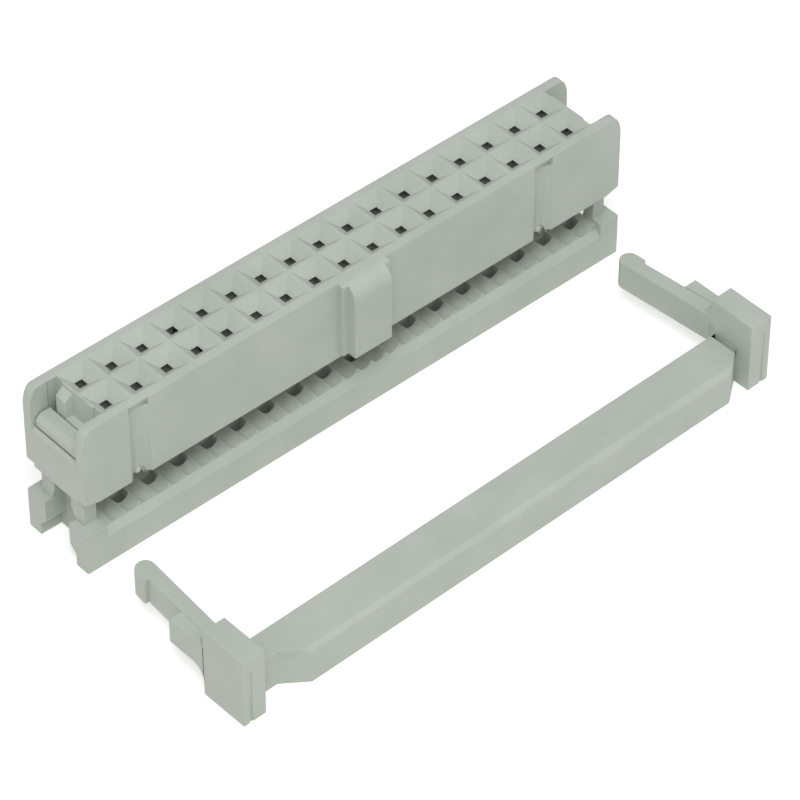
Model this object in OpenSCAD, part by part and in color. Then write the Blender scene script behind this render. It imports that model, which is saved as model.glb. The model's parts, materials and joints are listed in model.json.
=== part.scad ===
// Ribbon cable socket of the insulation displacement kind, held open for its cable,
// with its strain relief lying beside it.
// Millimetres. +Z points to the mating face, +X runs along the socket, and the
// origin is the centre of the cover's underside.

/* [Pin field] */
// Contact columns along the socket
columns = 17; // [5:1:17]
// Distance between neighbouring contacts, along and across
pitch = 2.54; // [2.5:0.01:2.58]
// Side of the square hole that a pin enters
throat_w = 0.86; // [0.75:0.01:1]
// Side of a lead-in funnel at the mating face
funnel_w = 2.3; // [1.8:0.05:2.4]
// Depth of a lead-in funnel
funnel_d = 0.6; // [0.4:0.05:0.8]

/* [Housing] */
// Distance from the last contact's centre to the end face
end_margin = 3.46; // [3.4:0.01:3.9]
// Width of the housing and of the cover
body_w = 6.2; // [6.1:0.05:7]
// Height of the housing
housing_h = 6.75; // [6.5:0.05:8]
// Thickness of the side walls where they run on as ears
ear_t = 0.8; // [0.7:0.05:1]
// Length of the rounding at an ear's top corner
ear_round_x = 0.75; // [0.6:0.05:1.3]
// Height of the rounding at an ear's top corner
ear_round_z = 1.65; // [1:0.05:2.2]
// Thickness of the bridge that joins two ears at the end face
bridge_t = 0.35; // [0.3:0.05:0.45]
// Height of the bridge from its lower edge
bridge_h = 3.25; // [2.8:0.05:3.4]
// Bevel along the bridge's upper outer edge
bridge_bevel = 0.25; // [0.1:0.05:0.25]
// Bevel at the ears' lower corners
foot_bevel = 0.3; // [0.1:0.05:0.5]

/* [Polarising key] */
// Width of the key's front face
key_w = 3.3; // [2.8:0.1:3.8]
// How far the key stands out of the side
key_out = 1.2; // [0.9:0.05:1.3]
// Width of the step at each flank of the key
key_step = 0.45; // [0.3:0.05:0.6]
// Height of the lead-in at the key's top
key_lead = 1.3; // [0.8:0.05:1.6]
// Distance from the housing's underside to the key's lower end
key_lift = 0.45; // [0.2:0.05:0.8]

/* [Side grooves] */
// Width of a vertical groove in the side
groove_w = 1.65; // [1.2:0.05:1.8]
// Depth of a vertical groove
groove_d = 0.45; // [0.3:0.05:0.5]
// Depth below the mating face at which a groove's sloped head ends
groove_head = 0.9; // [0.6:0.05:1.2]
// Radius of the round notch at a groove's foot
groove_foot_r = 0.55; // [0.4:0.05:0.6]
// Radius of the bead that sits in a groove's foot
bead_r = 0.3; // [0.2:0.05:0.35]

/* [Contacts] */
// Thickness of the contact's sheet metal
metal_t = 0.2; // [0.15:0.01:0.25]
// Outer side of the contact's square sleeve
sleeve_w = 1.5; // [1.4:0.05:1.5]
// Height of the sleeve
sleeve_h = 1.4; // [1:0.1:1.6]
// Distance from the housing's underside to the sleeve's floor
sleeve_lift = 1.75; // [1.5:0.05:2]
// Gap between the two spring beams where they grip a pin
grip_gap = 0.5; // [0.4:0.02:0.58]
// Height of the spring beams above the sleeve
beam_h = 1.9; // [1.5:0.1:2]
// Play between a contact and its cavity, all round
contact_play = 0.08; // [0.05:0.01:0.1]
// Width of the cutting fork
fork_w = 1.1; // [1:0.02:1.14]
// Width of the slot that cuts into the wire
fork_slot = 0.28; // [0.22:0.01:0.34]
// Length of the slot from the tips
fork_slot_l = 2.3; // [2:0.1:2.5]
// How far the fork's tips hang below the housing's underside
fork_drop = 2.1; // [2:0.05:2.2]
// Distance of the fork from the plane between the two rows
fork_y = 1.13; // [1.1:0.01:1.16]

/* [Cover] */
// How far the cover's ends stand out past the housing's
cover_over = 0.12; // [0:0.02:0.2]
// Height of the cover at its two shoulders
cover_h = 3.48; // [3.4:0.02:4]
// How far the ridges between the wires lie below the shoulders
ridge_drop = 0.2; // [0.1:0.05:0.4]
// Depth of a wire groove below the ridges
wire_d = 0.42; // [0.35:0.01:0.5]
// Width of a wire groove
wire_w = 1.17; // [1.05:0.01:1.22]
// Bevel along the cover's long upper edges
lip_bevel = 0.5; // [0.3:0.05:0.6]
// Length of each shoulder, from the end face
shoulder_l = 1.7; // [1.55:0.05:1.75]
// Depth of the tine pockets below the wire grooves
pocket_d = 1.6; // [1.4:0.05:1.7]
// Length of a tine pocket across the cover
pocket_y = 0.76; // [0.7:0.02:0.8]

/* [Latch arms] */
// Thickness of a latch arm
arm_t = 1.05; // [0.8:0.05:1.1]
// Running gap between a latch arm and the housing round it
arm_gap = 0.1; // [0.08:0.01:0.13]
// Height of a latch arm above the cover's shoulder
arm_h = 7; // [6.7:0.05:7.05]
// How far the latch head stands out over the bridge
hook_out = 0.15; // [0.1:0.01:0.3]
// Bevel along the latch head's outer top edge
head_bevel = 0.4; // [0.2:0.05:0.5]
// Width of the window in a latch arm
window_w = 1.7; // [1.2:0.05:2]
// Height of the window's top above the cover's shoulder
window_top = 3.2; // [2.6:0.1:3.6]
// Height at which the window widens, above the cover's shoulder
window_step = 1; // [0.5:0.05:1.2]

/* [Strain relief notch] */
// Depth of the end notch that takes the strain relief's arm
notch_d = 1.7; // [1.6:0.05:1.9]
// Play beside the strain relief's arm in its notch
notch_play = 0.1; // [0.05:0.01:0.2]
// Extra width on each side at the notch's foot
notch_flare = 0.6; // [0.3:0.05:0.7]
// Height of the flared foot
notch_foot_h = 1.6; // [1.2:0.1:2]

/* [Opening travel] */
// Height of the housing's underside above the wire ridges when open
open_gap = 2.65; // [2.5:0.05:2.75]

/* [Strain relief] */
// Width of the bar across the cable
bar_w = 3.4; // [3:0.1:4]
// Height of the bar
bar_h = 3.1; // [2.6:0.05:3.4]
// Bevel along the bar's near upper edge
bar_bevel = 0.35; // [0.2:0.05:0.5]
// Length of the slanted cut at each near end of the bar
bar_cut_x = 1.8; // [1.2:0.1:2.2]
// Depth of that slanted cut
bar_cut_y = 1.35; // [1:0.05:1.6]
// Distance from the block to that cut at the left end
bar_cut_in = 2.1; // [0:0.1:3]
// Thickness of an end block
block_t = 1.9; // [1.6:0.05:2.1]
// Length of an end block across the bar
block_l = 3.9; // [3.5:0.1:4.5]
// Height of an end block
block_h = 5.85; // [5.4:0.05:6.5]
// Thickness of a relief arm
relief_arm_t = 1.15; // [1:0.05:1.3]
// Height of a relief arm
relief_arm_h = 2.3; // [2.1:0.05:2.6]
// Length of a relief arm beyond its block
relief_arm_l = 8.5; // [7:0.1:9.5]
// Height of a relief arm's underside above the floor
relief_arm_z = 2.05; // [1.6:0.05:2.3]
// How far the hook at an arm's tip stands out
relief_hook = 0.3; // [0.15:0.05:0.4]
// Length of that hook
relief_hook_l = 1.6; // [1:0.1:2.5]
// How far a relief arm has to spring outwards to enter its notch in the cover
relief_grip = 0.3; // [0.1:0.05:0.4]
// Angle by which the relief arms lean towards each other
relief_toe = 5; // [0:0.5:6]
// Place of the relief's middle along the socket
relief_x = -1.1; // [-5:0.1:5]
// Place of the relief's near edge across the socket
relief_y = -19.7; // [-26:0.1:-19]
// Turn of the relief on the floor, in degrees
relief_turn = 0.95; // [0:0.05:2]

/* [Hidden] */
$fn = 32;
eps = 0.01;
ROWS = ["a", "b"];

shell = "#b6beb4";
tin = "#c9c6bd";

field_l = (columns - 1) * pitch;
half_l = field_l / 2 + end_margin;
half_w = body_w / 2;

ridge_z = cover_h - ridge_drop;
wire_z = ridge_z - wire_d;
housing_z = ridge_z + open_gap;
top_z = housing_z + housing_h;
bridge_top = housing_z + bridge_h + bridge_bevel;
throat_z = top_z - funnel_d;

ear_y = half_w - ear_t;
arm_out_x = half_l - bridge_t - arm_gap;
arm_in_x = arm_out_x - arm_t;
wall_x = arm_in_x - arm_gap;
arm_half_y = ear_y - arm_gap;
arm_top = cover_h + arm_h;
cover_half_l = half_l + cover_over;
notch_x = cover_half_l - notch_d;
notch_half = relief_arm_h / 2 + notch_play;

cavity_w = sleeve_w + 2 * contact_play;
sleeve_z = housing_z + sleeve_lift;
beam_top = sleeve_z + sleeve_h + beam_h;
cavity_top = beam_top + contact_play;
fork_x = pitch / 4;
fork_tip = housing_z - fork_drop;
wire_pitch = pitch / 2;
wires = 2 * columns;
wire_r = (pow(wire_w / 2, 2) + pow(wire_d, 2)) / (2 * wire_d);
groove_r = (pow(groove_w / 2, 2) + pow(groove_d, 2)) / (2 * groove_d);
groove_x = [-field_l / 2 + pitch / 2, field_l / 2 - 3 * pitch / 2];

function contact_name(row, i) = str("contact_", row, i < 10 ? "0" : "", i);
function column_x(i) = (i - (columns + 1) / 2) * pitch;
function corner_arc(cx, cz, rx, rz, from, to) =
  [for (k = [0:10]) let (a = from + (to - from) * k / 10) [cx + rx * cos(a), cz + rz * sin(a)]];

// Copies a shape to both ends of the socket.
module both_ends() {
  children();
  mirror([1, 0, 0]) children();
}

// Extrudes a profile drawn in X and Z across the socket, between two values of Y.
module across(y0, y1) {
  translate([0, y1, 0]) rotate([90, 0, 0]) linear_extrude(y1 - y0) children();
}

// Extrudes a profile drawn in Y and Z along the socket, between two values of X.
module along(x0, x1) {
  translate([x0, 0, 0]) rotate([90, 0, 90]) linear_extrude(x1 - x0) children();
}

module box(x, y, z) {
  translate([x[0], y[0], z[0]]) cube([x[1] - x[0], y[1] - y[0], z[1] - z[0]]);
}

// ---- Housing ----

// One side wall seen from the side, with both ears.
module side_outline() {
  right = concat(
    [[half_l - foot_bevel * 4, housing_z], [half_l, housing_z + foot_bevel]],
    corner_arc(half_l - ear_round_x, top_z - ear_round_z, ear_round_x, ear_round_z, 0, 90)
  );
  left = [for (k = [len(right) - 1:-1:0]) [-right[k][0], right[k][1]]];
  polygon(concat(right, left));
}

// The bridge in section, seen along Y.
module bridge_outline() {
  polygon([
    [half_l - bridge_t, housing_z],
    [half_l, housing_z],
    [half_l, bridge_top - bridge_bevel],
    [half_l - bridge_bevel, bridge_top],
    [half_l - bridge_t, bridge_top]
  ]);
}

// A funnel down to its throat: the common part of two crossed trapezoids.
module funnel() {
  reach = funnel_w;
  intersection() {
    across(-reach, reach) funnel_section();
    along(-reach, reach) funnel_section();
  }
}

module funnel_section() {
  grow = (funnel_w - throat_w) / 2 / funnel_d * eps;
  polygon([
    [-throat_w / 2, throat_z], [throat_w / 2, throat_z],
    [funnel_w / 2, top_z], [funnel_w / 2 + grow, top_z + eps],
    [-funnel_w / 2 - grow, top_z + eps], [-funnel_w / 2, top_z]
  ]);
}

// The space that one contact and its pin take up, drawn at the contact's centre.
module cavity() {
  w = cavity_w / 2;
  funnel();
  box([-throat_w / 2, throat_w / 2], [-throat_w / 2, throat_w / 2], [cavity_top - eps, throat_z + eps]);
  box([-w, w], [-w, w], [housing_z - 1, cavity_top]);
  box([0, fork_x + fork_w / 2 + contact_play], [-w, w], [housing_z - 1, sleeve_z + metal_t + contact_play]);
}

// Puts a shape at every contact, turned round on the far row.
module at_contacts() {
  for (i = [1:columns]) {
    translate([column_x(i), -pitch / 2, 0]) children();
    translate([column_x(i), pitch / 2, 0]) rotate([0, 0, 180]) children();
  }
}

// A concave groove down the near side with a sloped head and a round notch at its foot.
module side_groove(x) {
  head_z = top_z - groove_head;
  translate([x, -half_w - groove_r + groove_d, housing_z - 1])
    cylinder(r = groove_r, h = head_z - housing_z + 1, $fn = 64);
  along(x - groove_w / 2, x + groove_w / 2)
    polygon([
      [-half_w - 1, head_z], [-half_w + groove_d, head_z],
      [-half_w, top_z + eps], [-half_w - 1, top_z + eps]
    ]);
  translate([x, -half_w + ear_t * 0.7, housing_z]) rotate([90, 0, 0]) cylinder(r = groove_foot_r, h = 2);
}

module bead(x) {
  translate([x, -half_w + groove_d + bead_r / 2, housing_z + bead_r]) sphere(r = bead_r);
}

// The polarising key: a stepped rib whose top is cut back as a lead-in.
module polarising_key() {
  z0 = housing_z + key_lift;
  intersection() {
    union() {
      box([-key_w / 2, key_w / 2], [-half_w - key_out, -half_w + eps], [z0, top_z]);
      box([-key_w / 2 - key_step, key_w / 2 + key_step], [-half_w - key_out * 0.4, -half_w + eps], [z0, top_z]);
    }
    along(-key_w, key_w)
      polygon(concat(
        [[-half_w + eps, z0], [-half_w - key_out, z0]],
        corner_arc(-half_w, top_z - key_lead, -key_out, key_lead, 0, 90),
        [[-half_w + eps, top_z]]
      ));
  }
}

module housing() color(shell) {
  difference() {
    union() {
      box([-wall_x, wall_x], [-half_w, half_w], [housing_z, top_z]);
      across(-half_w, -ear_y) side_outline();
      across(ear_y, half_w) side_outline();
      both_ends() across(-ear_y - eps, ear_y + eps) bridge_outline();
      polarising_key();
    }
    at_contacts() cavity();
    for (x = groove_x) side_groove(x);
  }
  for (x = groove_x) bead(x);
}

// ---- Contacts ----

// The sleeve, a square tube with a floor that carries the fork.
module sleeve() {
  w = sleeve_w / 2;
  difference() {
    box([-w, w], [-w, w], [sleeve_z, sleeve_z + sleeve_h]);
    box([-w + metal_t, w - metal_t], [-w + metal_t, w - metal_t], [sleeve_z + metal_t, sleeve_z + sleeve_h + 1]);
  }
}

// One spring beam, seen along X: it leans in to grip the pin and flares at its tip.
module beam_outline() {
  w = sleeve_w / 2;
  z0 = sleeve_z + sleeve_h - metal_t;
  grip_z = z0 + beam_h * 0.75;
  tip_y = grip_gap / 2 + metal_t;
  polygon([
    [w, z0], [w, z0 + 2 * metal_t], [grip_gap / 2 + metal_t, grip_z], [tip_y + metal_t, beam_top],
    [tip_y, beam_top], [grip_gap / 2, grip_z], [w - metal_t, z0 + 2 * metal_t], [w - metal_t, z0]
  ]);
}

// The fork, seen along Y: two sharp tines with a slot between them.
module fork_outline() {
  half = fork_w / 2;
  slot = fork_slot / 2;
  slot_top = fork_tip + fork_slot_l;
  difference() {
    polygon([
      [-half, sleeve_z + metal_t], [-half, fork_tip + half], [-half * 0.6, fork_tip],
      [half * 0.6, fork_tip], [half, fork_tip + half], [half, sleeve_z + metal_t]
    ]);
    translate([-slot, fork_tip - 1]) square([fork_slot, slot_top - fork_tip + 1]);
    translate([0, slot_top]) circle(r = slot * 1.6);
    polygon([
      [-half * 0.6, fork_tip - eps], [half * 0.6, fork_tip - eps], [slot, fork_tip + half], [-slot, fork_tip + half]
    ]);
  }
}

// One contact, drawn at its pin's axis with its fork towards +X and towards the middle.
module contact() color(tin) {
  w = sleeve_w / 2;
  beam_w = sleeve_w - 4 * metal_t;
  fork_dy = pitch / 2 - fork_y;
  sleeve();
  for (side = [0, 180]) rotate([0, 0, side]) along(-beam_w / 2, beam_w / 2) beam_outline();
  box([w - metal_t, fork_x + fork_w / 2], [fork_dy - metal_t, fork_dy + metal_t], [sleeve_z, sleeve_z + metal_t]);
  translate([fork_x, 0, 0]) across(fork_dy - metal_t / 2, fork_dy + metal_t / 2) fork_outline();
}

module placed_contact(row, i) {
  if (row == "a") translate([column_x(i), -pitch / 2, 0]) contact();
  else translate([column_x(i), pitch / 2, 0]) rotate([0, 0, 180]) contact();
}

// ---- Cover ----

// The cover across its width, with its long upper edges bevelled.
module cover_section() {
  polygon([
    [-half_w, 0], [half_w, 0], [half_w, wire_z - lip_bevel], [half_w - lip_bevel, wire_z],
    [half_w - lip_bevel, ridge_z], [-half_w + lip_bevel, ridge_z],
    [-half_w + lip_bevel, wire_z], [-half_w, wire_z - lip_bevel]
  ]);
}

// The latch arm in section, seen along Y, with its head standing out over the bridge.
module arm_outline() {
  hook_x = arm_out_x + hook_out;
  hook_z = bridge_top + arm_gap;
  polygon([
    [arm_in_x, 0], [arm_out_x, 0], [arm_out_x, hook_z], [hook_x, hook_z],
    [hook_x, arm_top - head_bevel], [hook_x - head_bevel, arm_top], [arm_in_x, arm_top]
  ]);
}

// The window and notch in an end, seen along X.
module notch_outline() {
  w = window_w / 2;
  n = notch_half;
  f = n + notch_flare;
  polygon([
    [-f, -1], [f, -1], [f, notch_foot_h - notch_flare], [n, notch_foot_h], [n, cover_h],
    [w, cover_h + window_step], [w, cover_h + window_top], [-w, cover_h + window_top],
    [-w, cover_h + window_step], [-n, cover_h], [-n, notch_foot_h], [-f, notch_foot_h - notch_flare]
  ]);
}

// A pocket that takes a fork's tines when the socket is pressed shut.
module tine_pocket() {
  half = fork_w / 2 + contact_play;
  fork_dy = pitch / 2 - fork_y;
  translate([fork_x, fork_dy, 0]) box([-half, half], [-pocket_y / 2, pocket_y / 2], [wire_z - pocket_d, cover_h]);
}

module cover() color(shell) {
  groove_len = body_w + 2;
  difference() {
    union() {
      along(-cover_half_l + shoulder_l - eps, cover_half_l - shoulder_l + eps) cover_section();
      both_ends() box([cover_half_l - shoulder_l, cover_half_l], [-half_w, half_w], [0, cover_h]);
      both_ends() across(-arm_half_y, arm_half_y) arm_outline();
    }
    for (k = [0:wires - 1])
      translate([(k - (wires - 1) / 2) * wire_pitch, groove_len / 2, wire_z + wire_r])
        rotate([90, 0, 0]) cylinder(r = wire_r, h = groove_len, $fn = 48);
    at_contacts() tine_pocket();
    both_ends() along(notch_x, cover_half_l + 1) notch_outline();
  }
}

// ---- Strain relief ----

// Drawn about its own middle, with the bar's near edge at Y = 0 and its arms towards +Y.
module relief_half(cut_in) {
  block_in = notch_x - relief_grip;
  tip_y = block_l + relief_arm_l - bar_w;
  root_y = -bar_w / 2;
  tip_r = (relief_arm_t + relief_hook) / 2;
  // the bar's half with its slanted near end
  difference() {
    linear_extrude(bar_h)
      polygon([
        [-eps, 0], [block_in - cut_in - bar_cut_x, 0], [block_in - cut_in, bar_cut_y],
        [block_in + eps, bar_cut_y], [block_in + eps, bar_w], [-eps, bar_w]
      ]);
    along(-1, block_in + 1)
      polygon([[-eps, bar_h - bar_bevel], [bar_bevel, bar_h + eps], [-eps, bar_h + eps]]);
  }
  // the end block
  box([block_in, block_in + block_t], [0, block_l], [0, block_h]);
  // the leaning arm with its outward hook and its tip's round end
  translate([block_in, bar_w, relief_arm_z]) rotate([0, 0, relief_toe]) linear_extrude(relief_arm_h) {
    hook_end_y = tip_y - tip_r;
    polygon([
      [0, root_y], [relief_arm_t, root_y], [relief_arm_t, tip_y - relief_hook_l],
      [2 * tip_r, tip_y - relief_hook_l], [2 * tip_r, hook_end_y], [0, hook_end_y]
    ]);
    translate([tip_r, hook_end_y]) circle(r = tip_r);
  }
}

module strain_relief() color(shell)
  translate([relief_x, relief_y, 0]) rotate([0, 0, relief_turn]) {
    relief_half(0);
    mirror([1, 0, 0]) relief_half(bar_cut_in);
  }

housing();
cover();
strain_relief();
for (r = ROWS) for (i = [1:columns])
  placed_contact(r, i);
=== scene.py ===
"""Dresses a two-row ribbon cable socket and its strain relief, and sets them on a pale stage."""

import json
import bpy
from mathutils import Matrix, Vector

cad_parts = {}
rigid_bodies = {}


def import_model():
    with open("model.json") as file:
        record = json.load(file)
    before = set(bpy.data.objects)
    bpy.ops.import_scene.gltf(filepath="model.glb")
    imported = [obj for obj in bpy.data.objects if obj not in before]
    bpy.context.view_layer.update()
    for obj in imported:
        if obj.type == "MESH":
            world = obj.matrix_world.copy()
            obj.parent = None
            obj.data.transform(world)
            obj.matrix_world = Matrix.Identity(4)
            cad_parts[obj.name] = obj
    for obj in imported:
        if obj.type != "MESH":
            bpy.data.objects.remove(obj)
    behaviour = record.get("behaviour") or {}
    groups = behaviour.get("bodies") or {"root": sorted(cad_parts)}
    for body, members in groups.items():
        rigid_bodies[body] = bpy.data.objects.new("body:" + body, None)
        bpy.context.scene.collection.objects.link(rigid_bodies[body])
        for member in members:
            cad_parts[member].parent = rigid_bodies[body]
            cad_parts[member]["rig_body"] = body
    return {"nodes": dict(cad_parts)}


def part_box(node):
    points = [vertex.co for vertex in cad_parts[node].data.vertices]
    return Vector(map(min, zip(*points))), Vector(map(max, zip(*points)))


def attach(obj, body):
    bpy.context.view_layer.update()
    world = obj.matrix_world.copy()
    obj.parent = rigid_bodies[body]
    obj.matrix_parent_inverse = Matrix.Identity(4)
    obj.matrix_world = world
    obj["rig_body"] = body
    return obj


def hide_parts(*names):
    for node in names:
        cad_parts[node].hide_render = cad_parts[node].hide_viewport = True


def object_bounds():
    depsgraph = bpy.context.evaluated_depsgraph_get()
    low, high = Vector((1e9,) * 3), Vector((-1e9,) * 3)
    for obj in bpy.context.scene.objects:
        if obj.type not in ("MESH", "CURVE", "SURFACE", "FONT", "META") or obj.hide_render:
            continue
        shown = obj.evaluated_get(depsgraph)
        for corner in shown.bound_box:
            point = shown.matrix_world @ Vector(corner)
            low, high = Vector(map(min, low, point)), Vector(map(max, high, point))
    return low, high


bl_info = {
    "name": "Ribbon Cable Socket",
    "version": (1, 0, 0),
    "blender": (4, 5, 0),
    "location": "3D View > Sidebar > Socket",
    "description": "Finishes the socket's mouldings and contacts and lights them",
    "category": "Object",
}

from math import cos, pi, radians, sin

import bmesh
import bpy
from bpy.props import FloatProperty, FloatVectorProperty, PointerProperty, StringProperty
from mathutils import Matrix, Vector

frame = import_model()
CAD_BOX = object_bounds()

MM = 0.001
HOUSING_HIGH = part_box("housing")[1] / MM
COVER_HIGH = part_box("cover")[1] / MM
CONTACT_NODES = sorted(name for name in frame["nodes"] if name.startswith("contact_"))

# Edges that turn by more than this are shaded sharp.
SMOOTH_ANGLE = radians(32)
# Outer edges that turn by more than this are rounded.
SHARP_ANGLE = radians(28)
# Faces that turn by less than this are joined into one.
FLAT_ANGLE = radians(0.5)

# Points closer than this are one point, in metres.
WELD = 0.001 * MM
# How far a cutting tool reaches past an open face, in millimetres.
PAST = 0.5
# An edge this close to an outer face lies on it, in millimetres.
TOUCH = 0.01
# An edge that rises by more than this is a tall one, in millimetres.
TALL = 1
# How deep a joined form sinks into the strain relief, in millimetres.
SINK = 0.4

# What a copied mesh may hold about its old shading.
OLD_SHADING = ("custom_normal", "sharp_edge", "sharp_face")


# ---- Settings that a user would change ----


class MouldingSizes(bpy.types.PropertyGroup):
    """Sizes of the soft edges and of the small moulded forms, in millimetres."""

    pitch: FloatProperty(name="Pitch", description="Between neighbouring pin holes", default=2.54)
    throat: FloatProperty(name="Throat", description="Side of a pin hole below its funnel", default=0.86)
    throat_depth: FloatProperty(name="Throat depth", description="From mating face to throat", default=0.6)
    throat_end: FloatProperty(
        name="Throat end", description="Side to which the throat narrows", default=0.62
    )
    throat_taper: FloatProperty(
        name="Throat taper", description="Height over which it narrows", default=0.12
    )
    roof: FloatProperty(
        name="Roof", description="Thickness left round a pin hole below its taper", default=0.06
    )
    chamber: FloatProperty(name="Chamber", description="Side of the chamber round a contact", default=1.66)
    chamber_height: FloatProperty(
        name="Chamber height", description="Height opened above the contact", default=1.0
    )

    edge_radius: FloatProperty(
        name="Edge radius", description="Rounding of every plain outer edge", default=0.08, min=0.02, max=0.2
    )
    corner_radius: FloatProperty(
        name="Corner radius", description="Rounding of the tall outer corners", default=0.1, min=0.05, max=0.4
    )
    wall_inset: FloatProperty(
        name="End wall inset", description="From the housing's end face to the wall inside", default=1.6
    )
    ledge_depth: FloatProperty(
        name="Ledge depth", description="How far the end wall steps back above the latch", default=0.58
    )
    ledge_half: FloatProperty(
        name="Ledge half width", description="Half the width of that step", default=1.6
    )
    ear_thickness: FloatProperty(
        name="Ear thickness", description="Thickness of the ears beside the latch", default=0.8
    )
    rib_start: FloatProperty(
        name="Rib start", description="Where the rib on the end wall begins, from the middle", default=0.6
    )
    slit_depth: FloatProperty(
        name="Slit depth", description="Depth of the slits between end wall and ears", default=4.2
    )


class ReliefSizes(bpy.types.PropertyGroup):
    """Sizes of the strain relief's moulded details, in millimetres, in its own turned frame."""

    middle: FloatVectorProperty(
        name="Middle", description="Middle of the near edge", default=(-1.1, -19.7, 0.0)
    )
    turn: FloatProperty(
        name="Turn", description="Turn on the floor", default=radians(0.95), subtype="ANGLE"
    )
    block_inner: FloatProperty(name="Block inner face", description="From the middle", default=21.9)
    block_outer: FloatProperty(name="Block outer face", description="From the middle", default=23.8)
    block_length: FloatProperty(name="Block length", description="Length of an end block", default=3.9)
    arm_thickness: FloatProperty(name="Arm thickness", description="Thickness of an arm", default=1.15)
    arm_low: FloatProperty(name="Arm underside", description="Height of the arm's underside", default=2.05)
    arm_high: FloatProperty(name="Arm top", description="Height of the arm's top", default=4.35)
    cheek_length: FloatProperty(
        name="Cheek length", description="Reach of the cheek past its block", default=3.3
    )
    bar_height: FloatProperty(name="Bar height", description="Height of the bar", default=3.1)
    bar_width: FloatProperty(name="Bar width", description="Width of the bar", default=3.4)
    slot_width: FloatProperty(name="Slot width", description="Groove between bar and block", default=0.35)


class FinishColours(bpy.types.PropertyGroup):
    """Colours of the finishes, as sRGB hex values."""

    polyester: StringProperty(
        name="Polyester", description="Pebble grey moulded polyester", default="#bfc6bd"
    )
    polyester_deep: StringProperty(
        name="Polyester, deep", description="Its darker clouds", default="#b4bcb2"
    )
    tin: StringProperty(name="Tin", description="Tin plating of the contacts", default="#c9c6bd")
    floor: StringProperty(name="Floor", description="Pale studio floor", default="#f4f4f2")


class StageSettings(bpy.types.PropertyGroup):
    """Where the camera and the lamps stand, in millimetres."""

    aim: FloatVectorProperty(
        name="Aim", description="Point that the camera faces", default=(-1.05, -8.108, 4.99)
    )
    distance: FloatProperty(name="Distance", description="From that point to the camera", default=299.459)
    azimuth: FloatProperty(name="Azimuth", default=radians(-41.775), subtype="ANGLE")
    elevation: FloatProperty(name="Elevation", default=radians(43.936), subtype="ANGLE")
    roll: FloatProperty(name="Roll", default=radians(0.219), subtype="ANGLE")
    lens: FloatProperty(name="Lens", description="Focal length on a 36 mm sensor", default=202.26)
    sky: FloatProperty(name="Sky", description="Strength of the soft surrounding light", default=0.45)
    key: FloatProperty(
        name="Key lamp", description="Power of the high front softbox, in watts", default=1.1
    )
    key_place: FloatVectorProperty(
        name="Key place", description="Middle of the softbox", default=(-160, -190, 410)
    )
    key_size: FloatProperty(name="Key size", description="Side of the softbox", default=200)
    fill: FloatProperty(
        name="Fill lamp", description="Power of the softbox at the right, in watts", default=0.1
    )
    fill_place: FloatVectorProperty(
        name="Fill place", description="Middle of the softbox", default=(260, -300, 260)
    )
    fill_size: FloatProperty(name="Fill size", description="Side of the softbox", default=300)
    floor_reach: FloatProperty(
        name="Floor reach", description="From the middle to the floor's edge", default=3000
    )
    floor_thickness: FloatProperty(name="Floor thickness", description="Thickness of the floor", default=1)


# ---- Materials ----


def linear(hex_colour):
    """Turns an sRGB hex value into a linear colour with alpha."""
    channels = [int(hex_colour[i : i + 2], 16) / 255 for i in (1, 3, 5)]
    curved = [c / 12.92 if c <= 0.04045 else ((c + 0.055) / 1.055) ** 2.4 for c in channels]
    return (*curved, 1.0)


def add_node(tree, kind, settings=None, inputs=None, links=None):
    """Adds one node, sets its attributes and plain inputs, and links outputs of other nodes into it."""
    node = tree.nodes.new(kind)
    for name, value in (settings or {}).items():
        setattr(node, name, value)
    for name, value in (inputs or {}).items():
        node.inputs[name].default_value = value
    for name, output in (links or {}).items():
        tree.links.new(output, node.inputs[name])
    return node


def new_material(name):
    material = bpy.data.materials.new(name)
    material.use_nodes = True
    material.node_tree.nodes.clear()
    return material, material.node_tree


def per_metre(feature_mm):
    """A noise scale that gives features of about this size."""
    return 1 / (feature_mm * MM)


def noise(tree, place, feature_mm, detail=2.0):
    return add_node(
        tree,
        "ShaderNodeTexNoise",
        inputs={"Scale": per_metre(feature_mm), "Detail": detail, "Roughness": 0.5},
        links={"Vector": place.outputs["Object"]},
    )


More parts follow.
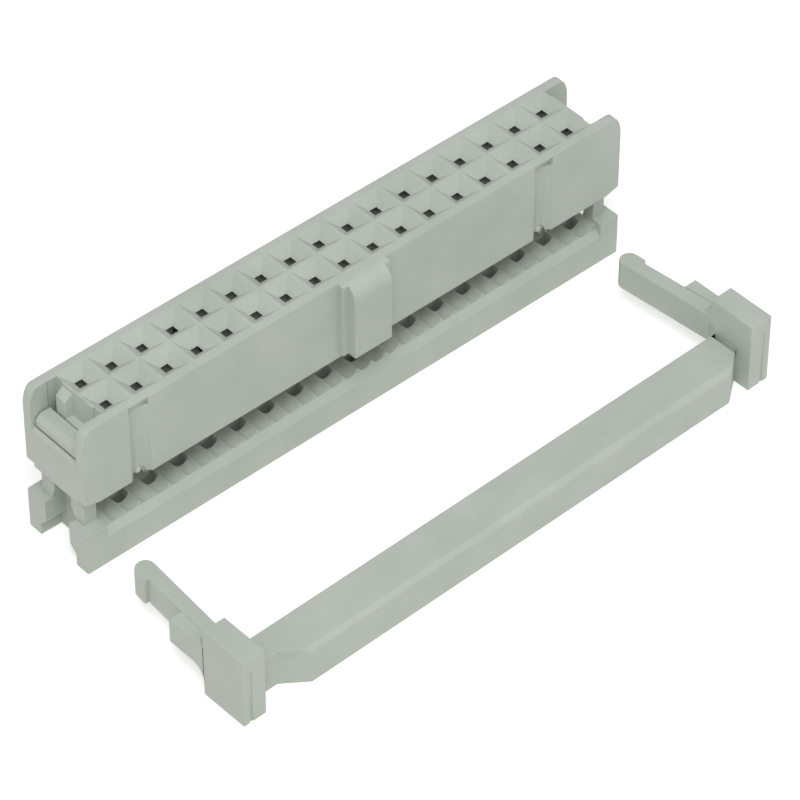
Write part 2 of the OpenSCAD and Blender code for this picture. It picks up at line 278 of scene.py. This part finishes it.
def mould_grey_polyester():
    """Glass-filled polyester (PBT), injection moulded: a matt, slightly cloudy pebble grey."""
    colours = bpy.context.scene.socket_colours
    material, tree = new_material("glass_filled_polyester_moulded")
    place = add_node(tree, "ShaderNodeTexCoord")
    # Flow clouds a few millimetres across, where the glass fibres lie at another angle.
    clouds = noise(tree, place, 4.0)
    # Short glass fibres just under the skin, drawn coarser than real ones so that they show.
    fibres = noise(tree, place, 0.35, detail=4.0)
    fibre_share = 0.35
    mixed = add_node(
        tree,
        "ShaderNodeMath",
        {"operation": "MULTIPLY_ADD"},
        inputs={1: fibre_share},
        links={0: fibres.outputs["Fac"], 2: clouds.outputs["Fac"]},
    )
    ramp = add_node(tree, "ShaderNodeValToRGB", links={"Fac": mixed.outputs[0]})
    ramp.color_ramp.elements[0].position = 0.42
    ramp.color_ramp.elements[0].color = linear(colours.polyester_deep)
    ramp.color_ramp.elements[1].position = 0.92
    ramp.color_ramp.elements[1].color = linear(colours.polyester)
    # The spark-eroded mould leaves a fine matt grain.
    grain = noise(tree, place, 0.16, detail=3.0)
    bump = add_node(
        tree,
        "ShaderNodeBump",
        inputs={"Strength": 0.25, "Distance": 0.02 * MM},
        links={"Height": grain.outputs["Fac"]},
    )
    gloss = add_node(
        tree,
        "ShaderNodeMapRange",
        inputs={"To Min": 0.48, "To Max": 0.62},
        links={"Value": clouds.outputs["Fac"]},
    )
    shader = add_node(
        tree,
        "ShaderNodeBsdfPrincipled",
        inputs={"IOR": 1.57, "Specular IOR Level": 0.4},
        links={
            "Base Color": ramp.outputs["Color"],
            "Roughness": gloss.outputs["Result"],
            "Normal": bump.outputs["Normal"],
        },
    )
    add_node(tree, "ShaderNodeOutputMaterial", links={"Surface": shader.outputs["BSDF"]})
    return material


def tin_plated_bronze():
    """Copper alloy strip, stamped and tin plated: a soft, slightly streaked white metal."""
    colours = bpy.context.scene.socket_colours
    material, tree = new_material("phosphor_bronze_tin_plated")
    place = add_node(tree, "ShaderNodeTexCoord")
    streaks = noise(tree, place, 0.2)
    rough = add_node(
        tree,
        "ShaderNodeMapRange",
        inputs={"To Min": 0.28, "To Max": 0.42},
        links={"Value": streaks.outputs["Fac"]},
    )
    shader = add_node(
        tree,
        "ShaderNodeBsdfPrincipled",
        inputs={"Base Color": linear(colours.tin), "Metallic": 1.0},
        links={"Roughness": rough.outputs["Result"]},
    )
    add_node(tree, "ShaderNodeOutputMaterial", links={"Surface": shader.outputs["BSDF"]})
    return material


def seen_directly(tree):
    """One where the background is seen by the camera, in a gloss or through glass."""
    path = add_node(tree, "ShaderNodeLightPath")
    gloss = add_node(
        tree,
        "ShaderNodeMath",
        {"operation": "MAXIMUM"},
        links={0: path.outputs["Is Glossy Ray"], 1: path.outputs["Is Transmission Ray"]},
    )
    return add_node(
        tree,
        "ShaderNodeMath",
        {"operation": "MAXIMUM"},
        links={0: path.outputs["Is Camera Ray"], 1: gloss.outputs[0]},
    )


def white_floor():
    """Matt white board: it takes the soft shadow and is lifted to white where it is seen."""
    colours = bpy.context.scene.socket_colours
    material, tree = new_material("board_white_matt")
    seen = seen_directly(tree)
    brightening = 0.42
    lift = add_node(
        tree, "ShaderNodeMath", {"operation": "MULTIPLY"}, inputs={1: brightening}, links={0: seen.outputs[0]}
    )
    matt = add_node(tree, "ShaderNodeBsdfDiffuse", inputs={"Color": linear(colours.floor)})
    glow = add_node(
        tree, "ShaderNodeEmission", inputs={"Color": (1, 1, 1, 1)}, links={"Strength": lift.outputs[0]}
    )
    both = add_node(tree, "ShaderNodeAddShader", links={0: matt.outputs[0], 1: glow.outputs[0]})
    add_node(tree, "ShaderNodeOutputMaterial", links={"Surface": both.outputs[0]})
    return material


# ---- Mesh tools ----


def join_flats(work):
    """Joins flat triangles into whole faces, apart from the mating face, which is full of holes."""
    top = HOUSING_HIGH.z * MM - WELD
    low_edges = [edge for edge in work.edges if min(vertex.co.z for vertex in edge.verts) < top]
    low_verts = [vertex for vertex in work.verts if vertex.co.z < top]
    bmesh.ops.dissolve_limit(
        work, angle_limit=FLAT_ANGLE, use_dissolve_boundaries=False, verts=low_verts, edges=low_edges
    )


def cleaned_copy(node, name):
    """Copies a node's mesh, welds it and joins its flat faces."""
    piece = bpy.data.objects.new(name, frame["nodes"][node].data.copy())
    bpy.context.scene.collection.objects.link(piece)
    work = bmesh.new()
    work.from_mesh(piece.data)
    bmesh.ops.remove_doubles(work, verts=work.verts, dist=WELD)
    join_flats(work)
    work.to_mesh(piece.data)
    work.free()
    attributes = piece.data.attributes
    for layer in [attribute.name for attribute in attributes if attribute.name in OLD_SHADING]:
        attributes.remove(attributes[layer])
    return piece


def prism(outline, axis, low, high):
    """A closed prism: an outline in millimetres, run along X, Y or Z between two places."""
    order = {"X": (2, 0, 1), "Y": (0, 2, 1), "Z": (0, 1, 2)}[axis]
    mesh = bpy.data.meshes.new("tool")
    work = bmesh.new()
    rings = []
    for place in (low, high):
        rings.append([work.verts.new([(u, v, place)[k] * MM for k in order]) for u, v in outline])
    count = len(outline)
    work.faces.new(rings[0])
    work.faces.new(rings[1])
    for i in range(count):
        j = (i + 1) % count
        work.faces.new((rings[0][i], rings[0][j], rings[1][j], rings[1][i]))
    bmesh.ops.recalc_face_normals(work, faces=work.faces)
    work.to_mesh(mesh)
    work.free()
    tool = bpy.data.objects.new("tool", mesh)
    bpy.context.scene.collection.objects.link(tool)
    return tool


def block(x, y, z):
    return prism([(x[0], y[0]), (x[1], y[0]), (x[1], y[1]), (x[0], y[1])], "Z", *z)


def add_square_ring(work, x, y, section):
    """Adds a closed square ring round a pin hole: its section is half sides and heights in millimetres."""
    corners = ((-1, -1), (1, -1), (1, 1), (-1, 1))
    loops = [
        [work.verts.new(((x + i * half) * MM, (y + j * half) * MM, z * MM)) for i, j in corners]
        for half, z in section
    ]
    faces = []
    for k, loop in enumerate(loops):
        following = loops[(k + 1) % len(loops)]
        for i in range(4):
            j = (i + 1) % 4
            faces.append(work.faces.new((loop[i], loop[j], following[j], following[i])))
    bmesh.ops.recalc_face_normals(work, faces=faces)


def mirrored(tool):
    """A copy of a tool at the other end of the part."""
    twin = tool.copy()
    twin.data = tool.data.copy()
    twin.data.transform(Matrix.Scale(-1, 4, (1, 0, 0)))
    twin.data.flip_normals()
    bpy.context.scene.collection.objects.link(twin)
    return twin


def settle(piece):
    """Makes a piece's modifiers part of its mesh."""
    graph = bpy.context.evaluated_depsgraph_get()
    settled = bpy.data.meshes.new_from_object(piece.evaluated_get(graph))
    piece.modifiers.clear()
    piece.data = settled


def combine(piece, tools, operation):
    """Cuts the tools out of a piece, or joins them to it, and removes them."""
    for tool in tools:
        modifier = piece.modifiers.new("combine", "BOOLEAN")
        modifier.operation = operation
        modifier.solver = "EXACT"
        modifier.object = tool
        settle(piece)
        bpy.data.objects.remove(tool)


def soften(piece, radius_at):
    """Rounds the outer edges, each by the radius that radius_at gives for its two ends."""
    widest = bpy.context.scene.socket_sizes.corner_radius * MM
    work = bmesh.new()
    work.from_mesh(piece.data)
    bmesh.ops.recalc_face_normals(work, faces=work.faces)
    join_flats(work)
    layer = work.edges.layers.float.new("bevel_weight_edge")
    for edge in work.edges:
        if len(edge.link_faces) == 2 and edge.calc_face_angle_signed() > SHARP_ANGLE:
            ends = [vertex.co / MM for vertex in edge.verts]
            edge[layer] = min(1.0, radius_at(*ends) * MM / widest)
    work.to_mesh(piece.data)
    work.free()
    bevel = piece.modifiers.new("edges", "BEVEL")
    bevel.limit_method = "WEIGHT"
    bevel.width = widest
    bevel.segments = 2
    bevel.use_clamp_overlap = False
    settle(piece)


def smooth(piece):
    """Shades a piece smoothly over its round edges and flat over its flat faces."""
    for polygon in piece.data.polygons:
        polygon.use_smooth = True
    piece.data.set_sharp_from_angle(angle=SMOOTH_ANGLE)
    weighted = piece.modifiers.new("normals", "WEIGHTED_NORMAL")
    weighted.keep_sharp = True
    settle(piece)


def dress(piece, material, node):
    """Gives a finished piece its material and its place in the frame."""
    piece.data.materials.clear()
    piece.data.materials.append(material)
    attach(piece, frame["nodes"][node]["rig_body"])
    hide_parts(node)


# ---- Pieces ----


def pin_places(sizes):
    """The middle of every pin hole, in millimetres."""
    columns = len(CONTACT_NODES) // 2
    for column in range(columns):
        for row in (-0.5, 0.5):
            yield (column - (columns - 1) / 2) * sizes.pitch, row * sizes.pitch


def contact_chambers(sizes):
    """The chambers close below the funnels, in which the contacts' springs open, as one cutting tool."""
    roof = HOUSING_HIGH.z - sizes.throat_depth - sizes.throat_taper - sizes.roof
    middle = Vector((0, 0, roof - sizes.chamber_height / 2))
    work = bmesh.new()
    for x, y in pin_places(sizes):
        place = Matrix.Translation((middle + Vector((x, y, 0))) * MM)
        # The fourth entry comes out as 1, so only the three sizes are scaled.
        shape = Matrix.Diagonal((sizes.chamber, sizes.chamber, sizes.chamber_height, 1 / MM)) * MM
        bmesh.ops.create_cube(work, size=1, matrix=place @ shape)
    mesh = bpy.data.meshes.new("chambers")
    work.to_mesh(mesh)
    work.free()
    tool = bpy.data.objects.new("chambers", mesh)
    bpy.context.scene.collection.objects.link(tool)
    return tool


class SOCKET_OT_housing(bpy.types.Operator):
    """Finish the housing: stepped end walls, slits beside the latches and soft moulded edges"""

    bl_idname = "socket.housing"
    bl_label = "Housing"

    def execute(self, context):
        sizes = context.scene.socket_sizes
        piece = cleaned_copy("housing", "housing_moulding")
        top = HOUSING_HIGH.z + PAST
        wall_x = HOUSING_HIGH.x - sizes.wall_inset
        back_x = wall_x - sizes.ledge_depth
        overlap = 0.05
        past_x = wall_x + overlap
        ledge_z = COVER_HIGH.z
        inner_y = HOUSING_HIGH.y - sizes.ear_thickness
        lap = 0.01
        step = block((back_x, past_x), (-sizes.ledge_half - lap, sizes.rib_start), (ledge_z, top))
        rib_back_drop = 0.3
        rib_front_drop = 0.8
        slope = [
            (back_x, HOUSING_HIGH.z - rib_back_drop),
            (wall_x, HOUSING_HIGH.z - rib_front_drop),
            (past_x, HOUSING_HIGH.z - rib_front_drop),
            (past_x, top),
            (back_x, top),
        ]
        rib_top = prism(slope, "Y", sizes.rib_start - lap, sizes.ledge_half + lap)
        slit_z = (HOUSING_HIGH.z - sizes.slit_depth, top)
        slit_reach = 0.1
        slit_x = (back_x - slit_reach, past_x + lap)
        slits = [
            block(slit_x, (sizes.ledge_half, inner_y + lap), slit_z),
            block(slit_x, (-inner_y - lap, -sizes.ledge_half), slit_z),
        ]
        tools = [step, rib_top, *slits]
        tools += [mirrored(tool) for tool in tools]
        combine(piece, [*tools, contact_chambers(sizes)], "DIFFERENCE")

        ear_reach = 0.9
        funnel_reach = 0.7
        rim_width = 0.5
        thin_rim = 0.2
        funnel_radius = 0.03

        def radius_at(a, b):
            at_ear = all(abs(end.x) > HOUSING_HIGH.x - ear_reach for end in (a, b))
            on_side = all(abs(end.y) > HOUSING_HIGH.y - TOUCH for end in (a, b))
            high = min(a.z, b.z) > HOUSING_HIGH.z - funnel_reach
            in_funnels = high and abs(a.y) < HOUSING_HIGH.y - rim_width
            if in_funnels and all(abs(abs(end.x) - back_x) < thin_rim for end in (a, b)):
                return 0.0
            if at_ear and on_side:
                return sizes.corner_radius
            return funnel_radius if in_funnels and abs(a.x) < back_x else sizes.edge_radius

        soften(piece, radius_at)
        smooth(piece)
        dress(piece, bpy.data.materials["glass_filled_polyester_moulded"], "housing")
        return {"FINISHED"}


class SOCKET_OT_throats(bpy.types.Operator):
    """Narrow the pin holes below their funnels, as the second taper of their lead-ins"""

    bl_idname = "socket.throats"
    bl_label = "Pin Hole Tapers"

    def execute(self, context):
        sizes = context.scene.socket_sizes
        top_z = HOUSING_HIGH.z - sizes.throat_depth
        low_z = top_z - sizes.throat_taper
        bury = 0.02
        # A ring's section, as half side and height: rim, narrow end, and two points inside the wall.
        section = [
            (sizes.throat / 2, top_z),
            (sizes.throat_end / 2, low_z),
            (sizes.throat / 2 + bury, low_z),
            (sizes.throat / 2 + bury, top_z - bury),
        ]
        work = bmesh.new()
        for x, y in pin_places(sizes):
            add_square_ring(work, x, y, section)
        mesh = bpy.data.meshes.new("pin_hole_tapers")
        work.to_mesh(mesh)
        work.free()
        piece = bpy.data.objects.new("pin_hole_tapers", mesh)
        context.scene.collection.objects.link(piece)
        mesh.materials.append(bpy.data.materials["glass_filled_polyester_moulded"])
        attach(piece, frame["nodes"]["housing"]["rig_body"])
        return {"FINISHED"}


class SOCKET_OT_cover(bpy.types.Operator):
    """Finish the cover: soft moulded edges, with the wire grooves left sharp"""

    bl_idname = "socket.cover"
    bl_label = "Cover"

    def execute(self, context):
        sizes = context.scene.socket_sizes
        piece = cleaned_copy("cover", "cover_moulding")

        shoulder = 1.6
        groove_floor = 1.0

        def radius_at(a, b):
            at_corner = abs(a.x) > COVER_HIGH.x - TOUCH and abs(a.y) > COVER_HIGH.y - TOUCH
            between_shoulders = max(abs(a.x), abs(b.x)) < COVER_HIGH.x - shoulder
            if between_shoulders and min(a.z, b.z) > groove_floor:
                return 0.0
            return sizes.corner_radius if at_corner and abs(a.z - b.z) > TALL else sizes.edge_radius

        soften(piece, radius_at)
        smooth(piece)
        dress(piece, bpy.data.materials["glass_filled_polyester_moulded"], "cover")
        return {"FINISHED"}


def relief_cheek(sizes):
    """The outline along Y and Z of the cheek that carries an arm, with a round hollow below it."""
    steps = 6
    foot_z = 0.6
    hollow_radius = 1.1
    under_z = sizes.arm_low + 0.25
    end_y = sizes.block_length
    tip_y = end_y + sizes.cheek_length
    angles = [pi / 2 * k / steps for k in range(steps + 1)]
    hollow = [
        (end_y + hollow_radius - hollow_radius * cos(angle), under_z - hollow_radius * (1 - sin(angle)))
        for angle in angles
    ]
    return [
        (end_y - SINK, foot_z),
        *hollow,
        (tip_y, under_z),
        (tip_y, sizes.arm_high),
        (end_y - SINK, sizes.arm_high),
    ]


def relief_fillet(sizes):
    """The outline along Y and Z of the slope between a block and the top of its arm."""
    root_y = sizes.block_length - 0.3
    root_z = sizes.arm_high - 0.2
    reach_y = sizes.block_length + 0.9
    rise_z = sizes.arm_high + 1.0
    return [(root_y, root_z), (reach_y, root_z), (root_y, rise_z)]


def relief_tools(sizes):
    """The strain relief's joined and cut forms at its right end, in its own frame."""
    inner = sizes.block_inner
    outer = sizes.block_outer
    fillet_x = (inner + 0.05, outer - 0.35)
    joined = [
        prism(relief_cheek(sizes), "X", inner + sizes.arm_thickness - SINK, outer),
        prism(relief_fillet(sizes), "X", *fillet_x),
    ]
    slot_depth = 0.5
    slot_z = sizes.bar_height - slot_depth
    groove_x = (inner + outer) / 2 + 0.3
    groove_half = 0.1
    groove_depth = 0.08
    groove_top = 4.6
    cut = [
        block(
            (inner - sizes.slot_width, inner),
            (-PAST, sizes.bar_width + PAST),
            (slot_z, sizes.bar_height + PAST),
        ),
        block((groove_x - groove_half, groove_x + groove_half), (-PAST, groove_depth), (-PAST, groove_top)),
    ]
    return joined, cut


class SOCKET_OT_strain_relief(bpy.types.Operator):
    """Finish the strain relief: cheeks that carry its arms, grooves and soft edges"""

    bl_idname = "socket.strain_relief"
    bl_label = "Strain Relief"

    def execute(self, context):
        sizes = context.scene.relief_sizes
        piece = cleaned_copy("strain_relief", "strain_relief_moulding")
        stand = Matrix.Translation(Vector(sizes.middle) * MM) @ Matrix.Rotation(sizes.turn, 4, "Z")
        for tools, operation in zip(relief_tools(sizes), ("UNION", "DIFFERENCE")):
            tools += [mirrored(tool) for tool in tools]
            for tool in tools:
                tool.data.transform(stand)
            combine(piece, tools, operation)
        inverse = stand.inverted()
        moulding = context.scene.socket_sizes

        margin = 0.1
        rounder = 1.3

        def radius_at(a, b):
            near, far = (inverse @ (end * MM) / MM for end in (a, b))
            beside_bar = abs(near.x) > sizes.block_inner - margin
            at_block = beside_bar and near.y < sizes.block_length + margin
            if at_block and abs(near.z - far.z) > TALL:
                return moulding.corner_radius
            return moulding.edge_radius * rounder

        soften(piece, radius_at)
        smooth(piece)
        dress(piece, bpy.data.materials["glass_filled_polyester_moulded"], "strain_relief")
        return {"FINISHED"}


class SOCKET_OT_contacts(bpy.types.Operator):
    """Plate the contacts with tin"""

    bl_idname = "socket.contacts"
    bl_label = "Contacts"

    def execute(self, context):
        plating = bpy.data.materials["phosphor_bronze_tin_plated"]
        for name in CONTACT_NODES:
            for material_slot in frame["nodes"][name].material_slots:
                material_slot.link = "OBJECT"
                material_slot.material = plating
        return {"FINISHED"}


class SOCKET_OT_materials(bpy.types.Operator):
    """Make the finishes that the pieces share"""

    bl_idname = "socket.materials"
    bl_label = "Materials"

    def execute(self, context):
        mould_grey_polyester()
        tin_plated_bronze()
        return {"FINISHED"}


# ---- Stage ----


def add_camera(stage):
    camera = bpy.data.objects.new("camera", bpy.data.cameras.new("camera"))
    turn = Matrix.Rotation(stage.azimuth, 4, "Z") @ Matrix.Rotation(radians(90) - stage.elevation, 4, "X")
    turn = turn @ Matrix.Rotation(stage.roll, 4, "Z")
    place = (Vector(stage.aim) + turn.to_3x3() @ Vector((0, 0, stage.distance))) * MM
    camera.matrix_world = Matrix.Translation(place) @ turn
    camera.data.lens = stage.lens
    camera.data.sensor_width = 36
    camera.data.clip_start = 0.01
    camera.data.clip_end = 20
    bpy.context.scene.collection.objects.link(camera)
    bpy.context.scene.camera = camera


def add_softbox(name, place, size, power):
    """A square softbox that faces the middle of the socket; places and size in millimetres."""
    lamp = bpy.data.lights.new(name, "AREA")
    lamp.energy = power
    lamp.size = size * MM
    softbox = bpy.data.objects.new(name, lamp)
    softbox.location = Vector(place) * MM
    softbox.rotation_euler = Vector(place).to_track_quat("Z", "Y").to_euler()
    bpy.context.scene.collection.objects.link(softbox)


def light_world(strength):
    """Soft white light from all sides, and plain white where the world itself is seen."""
    world = bpy.data.worlds.new("studio")
    bpy.context.scene.world = world
    world.use_nodes = True
    tree = world.node_tree
    tree.nodes.clear()
    seen = seen_directly(tree)
    power = add_node(
        tree,
        "ShaderNodeMapRange",
        inputs={"To Min": strength, "To Max": 1.0},
        links={"Value": seen.outputs[0]},
    )
    sky = add_node(
        tree,
        "ShaderNodeBackground",
        inputs={"Color": (1, 1, 1, 1)},
        links={"Strength": power.outputs["Result"]},
    )
    add_node(tree, "ShaderNodeOutputWorld", links={"Surface": sky.outputs[0]})


class SOCKET_OT_stage(bpy.types.Operator):
    """Set up the pale floor, the soft lamps and the camera"""

    bl_idname = "socket.stage"
    bl_label = "Stage"

    def execute(self, context):
        stage = context.scene.stage_settings
        add_camera(stage)
        span = (-stage.floor_reach, stage.floor_reach)
        floor_z = CAD_BOX[0][2] / MM
        floor = block(span, span, (floor_z - stage.floor_thickness, floor_z))
        floor.name = "floor"
        floor.data.materials.append(white_floor())
        add_softbox("key_softbox", stage.key_place, stage.key_size, stage.key)
        add_softbox("fill_softbox", stage.fill_place, stage.fill_size, stage.fill)
        light_world(stage.sky)
        context.scene.view_settings.view_transform = "Standard"
        return {"FINISHED"}


class SOCKET_PT_panel(bpy.types.Panel):
    bl_idname = "SOCKET_PT_panel"
    bl_label = "Ribbon Cable Socket"
    bl_space_type = "VIEW_3D"
    bl_region_type = "UI"
    bl_category = "Socket"

    def draw(self, context):
        for operator in OPERATORS:
            self.layout.operator(operator.bl_idname)


OPERATORS = (
    SOCKET_OT_materials,
    SOCKET_OT_housing,
    SOCKET_OT_throats,
    SOCKET_OT_cover,
    SOCKET_OT_strain_relief,
    SOCKET_OT_contacts,
    SOCKET_OT_stage,
)
GROUPS = {
    "socket_sizes": MouldingSizes,
    "relief_sizes": ReliefSizes,
    "socket_colours": FinishColours,
    "stage_settings": StageSettings,
}


def register():
    for kind in (*GROUPS.values(), *OPERATORS, SOCKET_PT_panel):
        bpy.utils.register_class(kind)
    for name, group in GROUPS.items():
        setattr(bpy.types.Scene, name, PointerProperty(type=group))


def unregister():
    for name in GROUPS:
        delattr(bpy.types.Scene, name)
    for kind in reversed((*GROUPS.values(), *OPERATORS, SOCKET_PT_panel)):
        bpy.utils.unregister_class(kind)


def main():
    register()
    bpy.ops.socket.materials()
    bpy.ops.socket.housing()
    bpy.ops.socket.throats()
    bpy.ops.socket.cover()
    bpy.ops.socket.strain_relief()
    bpy.ops.socket.contacts()
    bpy.ops.socket.stage()


if __name__ == "__main__":
    main()
